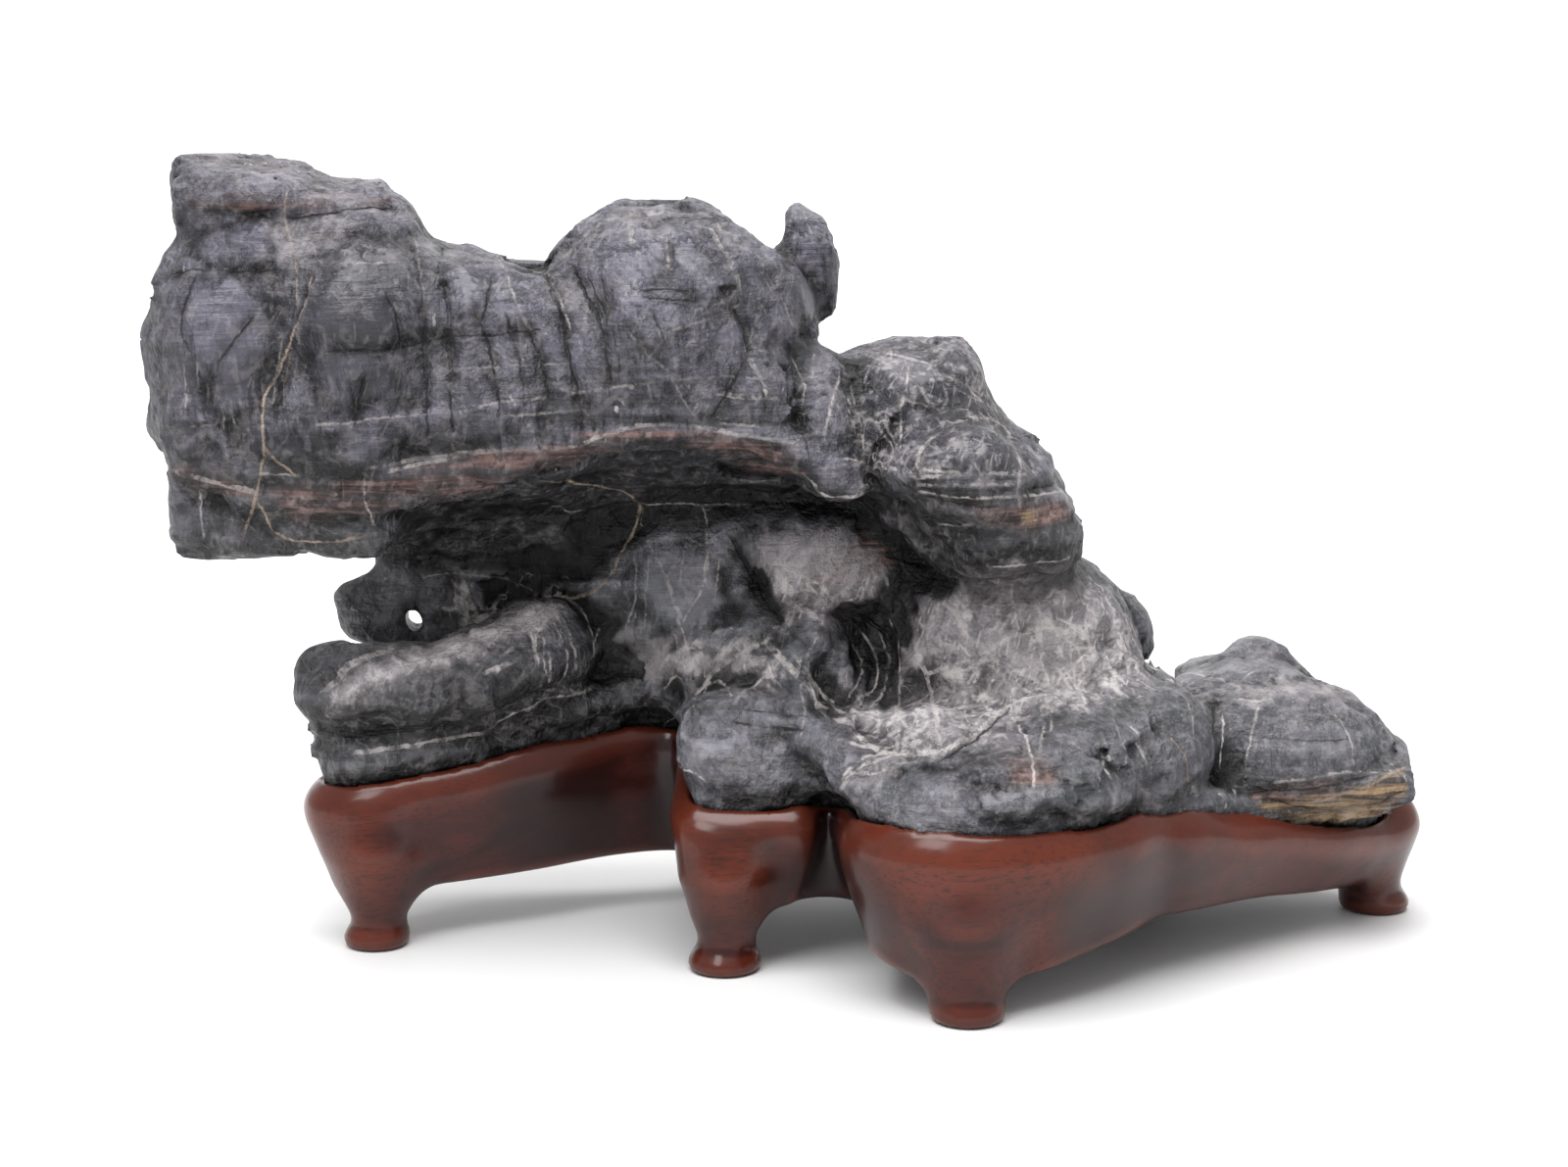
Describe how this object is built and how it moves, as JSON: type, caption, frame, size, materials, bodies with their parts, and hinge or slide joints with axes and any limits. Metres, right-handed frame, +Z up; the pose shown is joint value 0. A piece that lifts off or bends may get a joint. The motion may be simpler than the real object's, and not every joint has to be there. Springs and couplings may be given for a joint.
{
  "type": "suiseki viewing stone on a wooden stand",
  "caption": "Dark limestone viewing stone with an overhanging crest, a cave and a long foot, resting in a carved and lacquered hardwood stand on small cabriole feet.",
  "frame": {"origin": "table height, under the middle of the whole object's box", "axes": "+Z up, +X along the long way from the overhanging head to the tail, -Y towards the viewer"},
  "size_m": [0.5077, 0.2235, 0.3091],
  "materials": {
    "stone": "dark charcoal limestone, satin where handled, dusty on top, with tan veins and pale bedding bands",
    "stand": "red-brown stained hardwood under a glossy lacquer, darker in the recesses"
  },
  "bodies": {
    "root": {"stone": "stone", "stand": "stand"}
  },
  "joints": []
}
